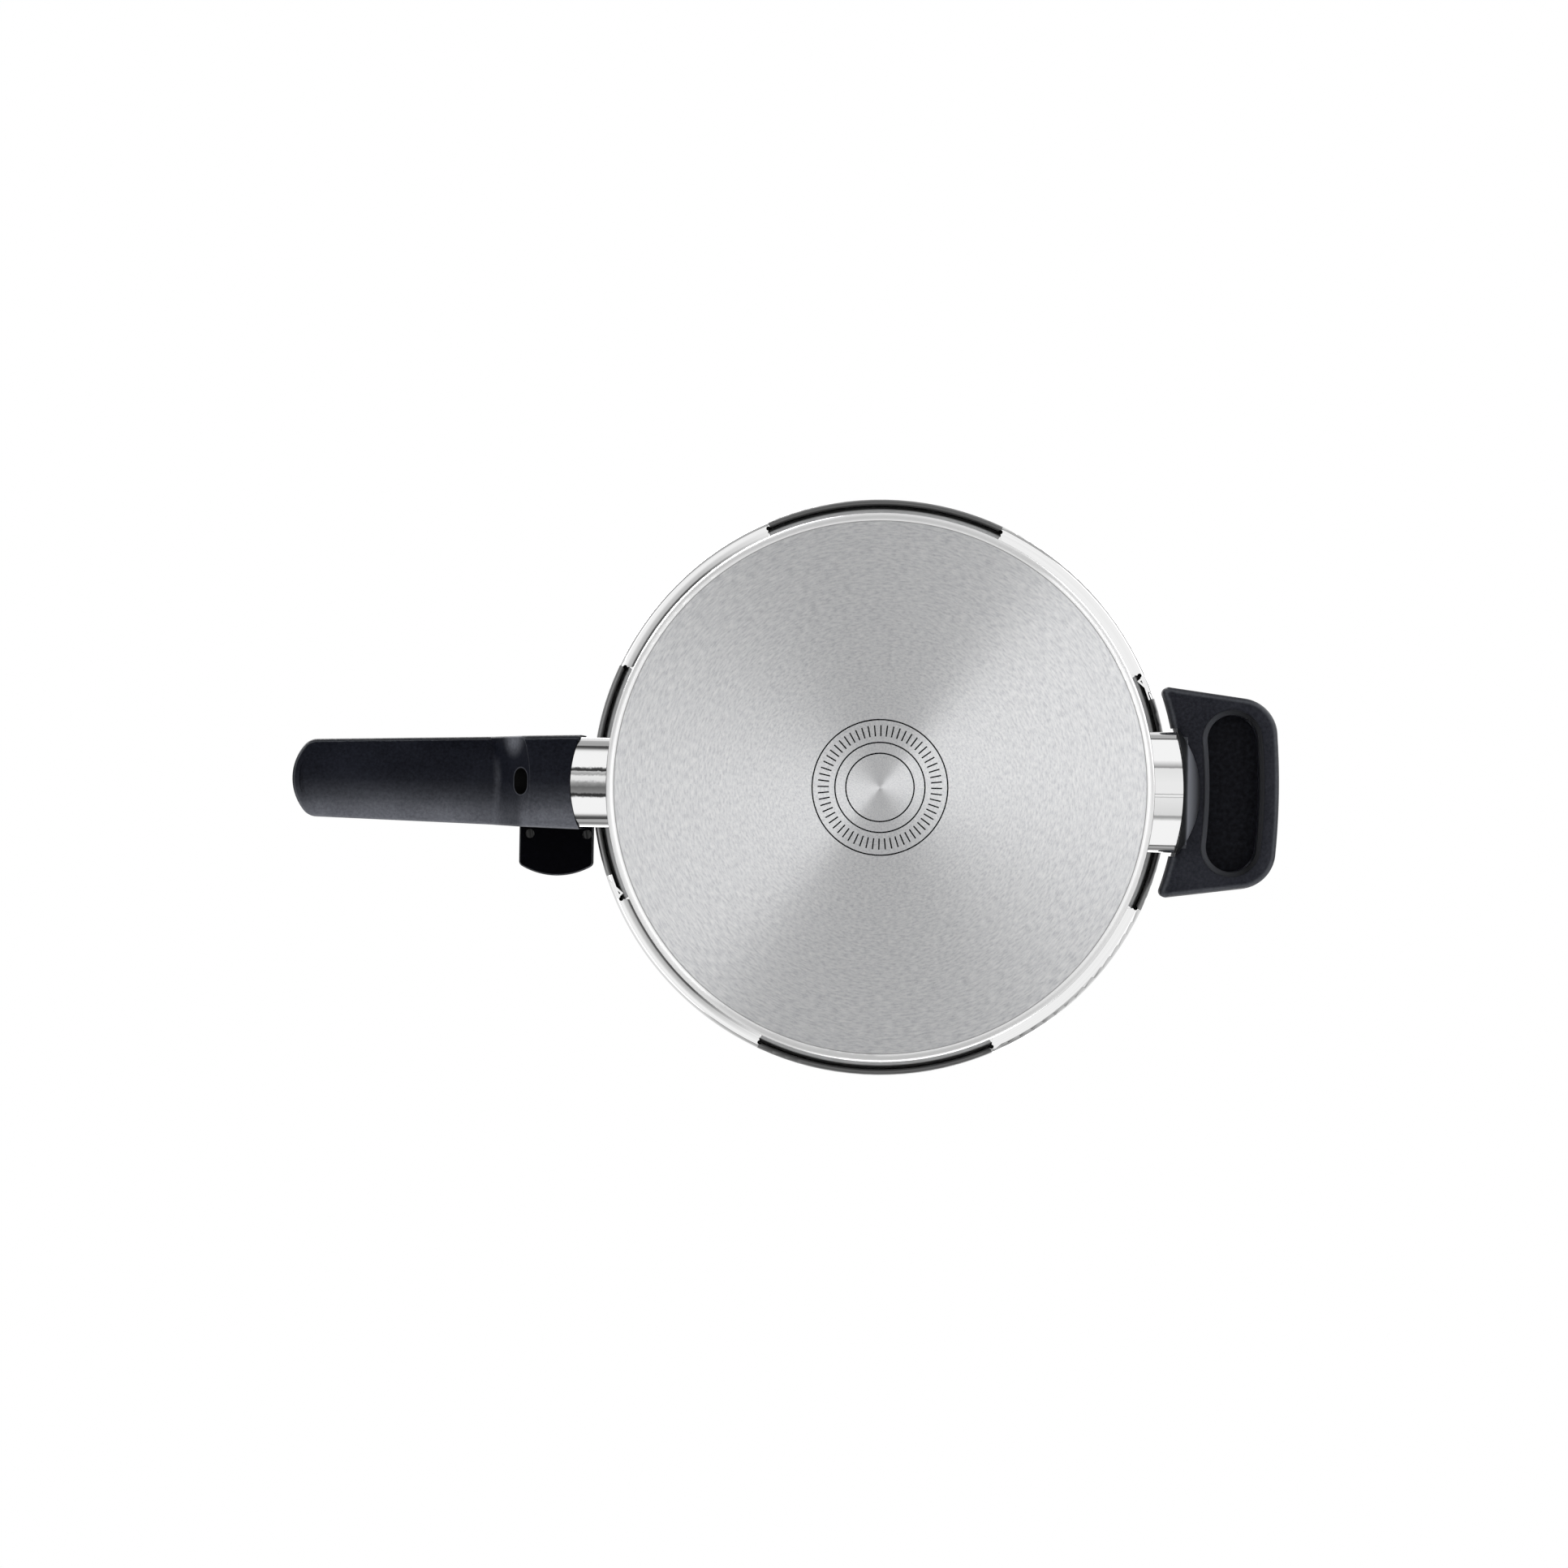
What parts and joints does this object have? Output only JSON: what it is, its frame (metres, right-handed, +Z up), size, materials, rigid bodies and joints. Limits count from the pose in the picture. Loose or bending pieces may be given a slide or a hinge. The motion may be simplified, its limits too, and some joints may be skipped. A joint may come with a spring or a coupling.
{
  "type": "stovetop pressure cooker",
  "caption": "Stovetop pressure cooker: deep steel pot with encapsulated base, bayonet lid with gasket, split long handle with sliding lock, helper handle, regulating valve and safety valve.",
  "frame": {"origin": "centre of the base's underside, where the pot's axis meets the stove", "axes": "+Z up along the pot's axis, long handles toward -X, helper handle toward +X, side tab toward +Y"},
  "size_m": [0.4168, 0.246, 0.1685],
  "materials": {
    "polished_steel": "mirror polished stainless steel",
    "brushed_base_steel": "circular brushed stainless steel",
    "core_aluminium": "plain",
    "bracket_steel": "satin",
    "guard_steel": "polished",
    "handle_plastic": "fine grained",
    "screw_steel": "satin",
    "gasket_rubber": "smooth matt",
    "seal_rubber": "smooth matt",
    "slider_plastic": "fine grained",
    "flag_plastic": "smooth",
    "bolt_steel": "turned",
    "spring_steel": "drawn wire",
    "valve_steel": "turned",
    "cap_plastic": "fine grained",
    "pin_steel": "turned"
  },
  "bodies": {
    "pot": {"pot_shell": "polished_steel", "base_core": "core_aluminium", "base_capsule": "brushed_base_steel", "pot_handle_bracket": "bracket_steel", "pot_handle_guard": "guard_steel", "pot_handle": "handle_plastic", "pot_handle_screw": "screw_steel", "side_handle_guard": "guard_steel", "side_handle_bracket": "bracket_steel", "side_handle": "handle_plastic", "side_handle_screw": "screw_steel"},
    "lid": {"lid_shell": "polished_steel", "gasket": "gasket_rubber", "lid_handle_base": "handle_plastic", "lid_handle_cover": "handle_plastic", "cover_screws": "screw_steel", "lid_handle_seals": "seal_rubber", "lid_handle_screws": "screw_steel", "side_tab": "handle_plastic", "side_tab_screws": "screw_steel", "bolt_spring": "spring_steel", "valve_body": "valve_steel", "valve_washer": "seal_rubber", "valve_nut": "valve_steel", "valve_spring": "spring_steel", "safety_valve_body": "valve_steel", "safety_valve_ring": "seal_rubber", "safety_valve_nut": "valve_steel"},
    "slider": {"lock_slider": "slider_plastic", "lock_flag": "flag_plastic"},
    "bolt": {"lock_bolt": "bolt_steel"},
    "cap": {"valve_cap": "cap_plastic"},
    "stem": {"valve_stem": "valve_steel"},
    "float_pin": {"safety_pin": "pin_steel"}
  },
  "joints": [
    {"name": "lid_turn", "type": "hinge", "parent": "pot", "child": "lid", "pos_m": [0, 0, 0.1282], "axis": [0, 0, 1], "range_deg": [0, 44]},
    {"name": "lock_slide", "type": "slide", "parent": "lid", "child": "slider", "axis": [1, 0, 0], "range_m": [0, 0.008]},
    {"name": "bolt_slide", "type": "slide", "parent": "lid", "child": "bolt", "axis": [0, 0, -1], "range_m": [0, 0.0048], "stiffness_N_per_m": 150, "springref_m": -0.003, "deforming": ["bolt_spring"]},
    {"name": "cap_turn", "type": "hinge", "parent": "lid", "child": "cap", "pos_m": [0, 0, 0.15], "axis": [0, 0, 1], "range_deg": [0, 90]},
    {"name": "stem_slide", "type": "slide", "parent": "lid", "child": "stem", "axis": [0, 0, 1], "range_m": [0, 0.006], "stiffness_N_per_m": 400, "springref_m": -0.002, "deforming": ["valve_spring"]},
    {"name": "float_rise", "type": "slide", "parent": "lid", "child": "float_pin", "axis": [0, 0, 1], "range_m": [0, 0.003]}
  ],
  "couplings": [
    {"joint": "bolt_slide", "follows": "lock_slide", "ratio": 0.6}
  ]
}
